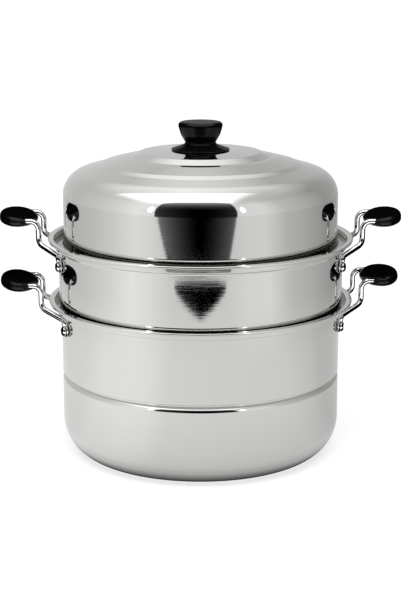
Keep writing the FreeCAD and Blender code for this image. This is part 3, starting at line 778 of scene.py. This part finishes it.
def black_felt():
    """Black felt over the gap before the pot: its nap greys towards the sides, where the lamps graze it,
    and towards its top, where the tent's roof lights it."""
    material, tree = new_material("felt, black")
    if tree:
        place = add_node(tree, "ShaderNodeTexCoord").outputs["Object"]
        xyz = add_node(tree, "ShaderNodeSeparateXYZ", {"Vector": place}).outputs
        slant = add_node(tree, "ShaderNodeMath", {0: xyz["X"], 1: xyz["Y"]}, operation="DIVIDE")
        aside = add_node(tree, "ShaderNodeMath", {0: slant, 1: 2.0}, operation="POWER")
        depth = add_node(tree, "ShaderNodeMapRange", {
            "Value": xyz["Y"], "From Min": -1.1, "From Max": -1.9, "To Min": 0.8, "To Max": 0.13,
        })
        low = add_node(tree, "ShaderNodeMapRange", {
            "Value": xyz["Z"], "From Max": 2.0, "To Min": 1.0, "To Max": 0.5,
        })
        gap = add_node(tree, "ShaderNodeMapRange", {"Value": xyz["Y"], "From Min": -1.03, "From Max": -1.08})
        nap = aside
        for share in (depth, low, gap):
            nap = add_node(tree, "ShaderNodeMath", {0: nap, 1: share}, operation="MULTIPLY")
        rise = add_node(tree, "ShaderNodeMapRange", {"Value": xyz["Z"], "From Min": 0.9, "From Max": 3.0})
        rise = add_node(tree, "ShaderNodeMath", {0: rise, 1: 2.5}, operation="POWER")
        nap = add_node(tree, "ShaderNodeMath", {0: rise, 1: 0.57, 2: nap}, operation="MULTIPLY_ADD")
        # Painted light: the felt's grey is an emission graded by place, standing in for the lamps and the
        # roof that light it
        felt = add_node(tree, "ShaderNodeEmission", {"Color": linear("#F4F4F4"), "Strength": nap})
        add_node(tree, "ShaderNodeOutputMaterial", {"Surface": felt})
        material.cycles.emission_sampling = "NONE"
    return material


def tent_cloth():
    """White nylon of a light tent, glowing as the lamps behind it fall off round the pot: brightest to the
    left of the camera and overhead, dim on the right and behind, and shaded on the ground beside the pot.
    Only polished metal and gloss mirror it."""
    material, tree = new_material("nylon, white tent cloth")
    if tree:
        place = add_node(tree, "ShaderNodeTexCoord").outputs["Object"]
        xyz = add_node(tree, "ShaderNodeSeparateXYZ", {"Vector": place}).outputs
        front = add_node(tree, "ShaderNodeMath", {0: xyz["Y"], 1: -1.0}, operation="MULTIPLY")
        turn = add_node(tree, "ShaderNodeMath", {0: xyz["X"], 1: front}, operation="ARCTAN2")
        degrees = add_node(tree, "ShaderNodeMath", {0: turn, 1: math.degrees(1.0)}, operation="MULTIPLY")
        away = add_node(tree, "ShaderNodeVectorMath", {0: place}, operation="LENGTH").outputs["Value"]
        glows = []
        for along, levels in (
            (degrees, TENT_LEVELS), (xyz["X"], ROOF_LEVELS), (degrees, APRON_LEVELS), (away, SHADE_LEVELS),
        ):
            first, last = levels[0][0], levels[-1][0]
            share = add_node(tree, "ShaderNodeMapRange", {
                "Value": along, "From Min": first, "From Max": last,
            })
            glow = add_node(tree, "ShaderNodeValToRGB", {"Fac": share})
            for at, _ in levels[1:-1]:
                glow.color_ramp.elements.new((at - first) / (last - first))
            for stop, (at, level) in zip(glow.color_ramp.elements, levels):
                stop.color = (level, level, level, 1.0)
            glows.append(glow)
        ring, roof, apron, shade = glows
        up = add_node(tree, "ShaderNodeMapRange", {
            "Value": xyz["Z"], "From Min": 0.58 * TENT, "From Max": 0.8 * TENT,
        })
        level = add_node(tree, "ShaderNodeMix", {0: up, 6: ring, 7: roof}, data_type="RGBA").outputs[2]
        near = add_node(tree, "ShaderNodeMapRange", {"Value": away, "From Min": 0.85, "From Max": 0.55})
        level = add_node(tree, "ShaderNodeMix", {0: near, 6: level, 7: apron}, data_type="RGBA").outputs[2]
        aside = add_node(tree, "ShaderNodeMath", {0: xyz["X"], 1: 0.15 * TENT}, operation="ADD")
        aside = add_node(tree, "ShaderNodeMath", {0: aside}, operation="ABSOLUTE")
        ahead = add_node(tree, "ShaderNodeMath", {0: xyz["Y"], 1: 0.3 * TENT}, operation="ADD")
        ahead = add_node(tree, "ShaderNodeMath", {0: ahead}, operation="ABSOLUTE")
        depth = add_node(tree, "ShaderNodeMapRange", {
            "Value": ahead, "From Min": 0.45 * TENT, "From Max": 0.4 * TENT,
        }, interpolation_type="SMOOTHSTEP")
        width = add_node(tree, "ShaderNodeMapRange", {
            "Value": aside, "From Min": 0.6 * TENT, "From Max": 0.4 * TENT,
        }, interpolation_type="SMOOTHSTEP")
        patch = add_node(tree, "ShaderNodeMath", {0: depth, 1: width}, operation="MULTIPLY")
        patch = add_node(tree, "ShaderNodeMath", {0: patch, 1: up}, operation="MULTIPLY")
        level = add_node(tree, "ShaderNodeMix", {0: patch, 6: level, 7: (2, 2, 2, 1)}, data_type="RGBA")
        glow = add_node(tree, "ShaderNodeEmission", {"Color": level.outputs[2], "Strength": shade})
        add_node(tree, "ShaderNodeOutputMaterial", {"Surface": glow})
        material.cycles.emission_sampling = "NONE"
    return material


class STEAMERPOT_OT_stage(bpy.types.Operator):
    """Set the floor, the light tent, the lamps and the camera"""

    bl_idname = "steamer_pot.stage"
    bl_label = "Stage"

    def execute(self, context):
        scene = context.scene
        scene.view_settings.view_transform = "Standard"
        self.add_world(scene)
        bm = bmesh.new()
        bmesh.ops.create_circle(bm, cap_ends=True, segments=64, radius=FLOOR)
        self.add_stage(bm, "floor", pale_board())
        tent = self.add_tent()
        self.add_gap()
        pot = (0.0, 0.0, 0.2)
        key = self.add_softbox("key_softbox", (-0.091, -0.649, 1.605), pot, width=1.7, height=1.5, level=1.7)
        key.visible_glossy = False
        self.add_softbox("left_lamp", (-1.229, -1.465, 0.785), pot, width=0.16, height=0.75, level=2.2)
        self.add_softbox("right_lamp", (1.07, -1.586, 0.785), pot, width=0.13, height=0.75, level=2.2)
        self.add_fittings_light(tent)
        self.add_camera(scene)
        return {"FINISHED"}

    def add_world(self, scene):
        """White to the eye and to metal, softer for what lights the matt surfaces."""
        scene.world = bpy.data.worlds.new("white studio")
        scene.world.use_nodes = True
        tree = scene.world.node_tree
        tree.nodes.clear()
        level = add_node(tree, "ShaderNodeMapRange", {"Value": background_rays(tree), "To Min": 0.7})
        sky = add_node(tree, "ShaderNodeBackground", {"Color": linear("#FFFFFF"), "Strength": level})
        add_node(tree, "ShaderNodeOutputWorld", {"Surface": sky})

    def add_stage(self, bm, name, material):
        mesh = bpy.data.meshes.new(name)
        bm.to_mesh(mesh)
        bm.free()
        item = bpy.data.objects.new(name, mesh)
        bpy.context.scene.collection.objects.link(item)
        mesh.materials.append(material)
        return item

    def add_tent(self):
        """A dome with its groundsheet, which the camera looks through."""
        bm = bmesh.new()
        bmesh.ops.create_icosphere(bm, subdivisions=5, radius=TENT)
        cut = bm.verts[:] + bm.edges[:] + bm.faces[:]
        bmesh.ops.bisect_plane(bm, geom=cut, plane_co=(0, 0, 0.002), plane_no=(0, 0, 1), clear_inner=True)
        bmesh.ops.holes_fill(bm, edges=[edge for edge in bm.edges if edge.is_boundary])
        tent = self.add_stage(bm, "light_tent", tent_cloth())
        self.hide(tent)
        return tent

    def add_gap(self):
        """The dark gap in the tent, which lid and steamer mirror: it opens on the floor before the pot,
        widens towards the camera and rises behind it."""
        bm = bmesh.new()
        notch_side = [
            (0.12, -0.83), (0.3, -0.905), (0.325, -0.93), (0.29, -0.962), (0.22, -0.995), (0.13, -1.016),
        ]
        notch = [(0.0, -0.785), *notch_side, (0.0, -1.025), *[(-x, y) for x, y in notch_side[::-1]]]
        gap = [
            (0.385, -1.015), (0.76, -1.4), (1.22, -2.2), (-1.62, -2.2), (-1.03, -1.4), (-0.435, -0.999),
            (-0.28, -1.052), (-0.18, -1.077), (0.0, -1.085), (0.18, -1.077), (0.28, -1.052),
        ]
        for outline in (notch, gap):
            bm.faces.new([bm.verts.new((x, y, 0.004)) for x, y in outline])
        far = min(bm.edges, key=lambda edge: edge.verts[0].co.y + edge.verts[1].co.y)
        raised = bmesh.ops.extrude_edge_only(bm, edges=[far])["geom"]
        corners = [item for item in raised if isinstance(item, bmesh.types.BMVert)]
        bmesh.ops.translate(bm, vec=(0.0, 0.0, 3.1), verts=corners)
        bmesh.ops.bevel(
            bm, geom=corners, offset=0.6, offset_type="OFFSET", segments=8, profile=0.5, affect="VERTICES",
            material=-1,
        )
        self.hide(self.add_stage(bm, "front_gap", black_felt()))

    def hide(self, item):
        """Leaves a stage piece to reflections alone."""
        item.visible_camera = item.visible_diffuse = item.visible_shadow = False

    def add_softbox(self, name, place, aim, width, height, level):
        """An area light at a place, facing the point it aims at."""
        light = bpy.data.lights.new(name, "AREA")
        light.shape = "ELLIPSE"
        light.size, light.size_y = width, height
        light.energy = level * math.pi * width * height
        lamp = bpy.data.objects.new(name, light)
        lamp.location = place
        lamp.rotation_euler = (Vector(place) - Vector(aim)).to_track_quat("Z", "Y").to_euler()
        lamp.visible_camera = False
        bpy.context.scene.collection.objects.link(lamp)
        return lamp

    def add_fittings_light(self, tent):
        """Gives handles and knob panels of their own in place of the tent, so that they mirror white and
        black as they do in a dark room."""
        handle_pieces, knob_pieces = ("_bent_wire", "_oval_grip", "_round_rivets"), ("_knob",)
        self.reach(tent, "EXCLUDE", handle_pieces + knob_pieces)
        before = self.add_softbox("front_panel", (0.0, -0.68, 0.015), (0.0, -0.68, 1.0), 2.2, 1.05, level=1.4)
        behind = self.add_softbox("back_panel", (0.0, 0.68, 0.015), (0.0, 0.68, 1.0), 0.8, 1.05, level=1.4)
        above = self.add_softbox("top_panel", (0.0, -0.2, 1.3), (0.0, 0.0, 0.2), 2.2, 1.8, level=1.2)
        for panel in (before, behind):
            self.reach(panel, "INCLUDE", handle_pieces)
        self.reach(above, "INCLUDE", handle_pieces + knob_pieces)
        strip = self.add_softbox("knob_strip", (0.0, 1.0, 0.55), (0.0, 0.0, 0.32), 1.0, 0.4, level=0.22)
        self.reach(strip, "INCLUDE", knob_pieces)

    def reach(self, light, state, endings):
        """Lets a light reach only the pieces with these endings to their names, or all but them."""
        pieces = bpy.data.collections.new(f"{light.name} pieces")
        for item in bpy.context.scene.objects:
            if item.name.endswith(endings):
                pieces.objects.link(item)
        for entry in pieces.collection_objects:
            entry.light_linking.link_state = state
        light.light_linking.receiver_collection = pieces

    def add_camera(self, scene):
        camera = bpy.data.cameras.new("camera")
        camera.sensor_width = 36.0
        camera.lens = CAMERA_LENS
        view = bpy.data.objects.new("camera", camera)
        pitch = math.radians(CAMERA_PITCH)
        back = Vector((0.0, -math.cos(pitch), math.sin(pitch)))
        view.location = Vector((0.0, 0.0, CAMERA_AIM)) + back * CAMERA_DISTANCE
        view.rotation_euler = (math.pi / 2 - pitch, 0.0, 0.0)
        scene.collection.objects.link(view)
        scene.camera = view


OPERATORS = (
    STEAMERPOT_OT_pot, STEAMERPOT_OT_steamer, STEAMERPOT_OT_lid, STEAMERPOT_OT_knob, STEAMERPOT_OT_wires,
    STEAMERPOT_OT_grips, STEAMERPOT_OT_rivets, STEAMERPOT_OT_fixings, STEAMERPOT_OT_stage,
)


class STEAMERPOT_PT_panel(bpy.types.Panel):
    """Sizes, finishes and pieces of the steamer pot"""

    bl_idname = "STEAMERPOT_PT_panel"
    bl_label = "Steamer Pot"
    bl_space_type = "VIEW_3D"
    bl_region_type = "UI"
    bl_category = "Steamer Pot"

    def draw(self, context):
        for title, group in (("Sizes", sizes()), ("Finish", finish())):
            box = self.layout.box()
            box.label(text=title)
            for name in group.__annotations__:
                box.prop(group, name)
        for operator in OPERATORS:
            self.layout.operator(operator.bl_idname)


CLASSES = (SteamerPotSizes, SteamerPotFinish, *OPERATORS, STEAMERPOT_PT_panel)


def register():
    for item in CLASSES:
        bpy.utils.register_class(item)
    bpy.types.Scene.steamer_pot_sizes = PointerProperty(type=SteamerPotSizes)
    bpy.types.Scene.steamer_pot_finish = PointerProperty(type=SteamerPotFinish)


def unregister():
    del bpy.types.Scene.steamer_pot_finish
    del bpy.types.Scene.steamer_pot_sizes
    for item in reversed(CLASSES):
        bpy.utils.unregister_class(item)


def main():
    register()
    bpy.ops.steamer_pot.pot()
    bpy.ops.steamer_pot.steamer()
    bpy.ops.steamer_pot.lid()
    bpy.ops.steamer_pot.knob()
    bpy.ops.steamer_pot.wires()
    bpy.ops.steamer_pot.grips()
    bpy.ops.steamer_pot.rivets()
    bpy.ops.steamer_pot.fixings()
    bpy.ops.steamer_pot.stage()


if __name__ == "__main__":
    main()
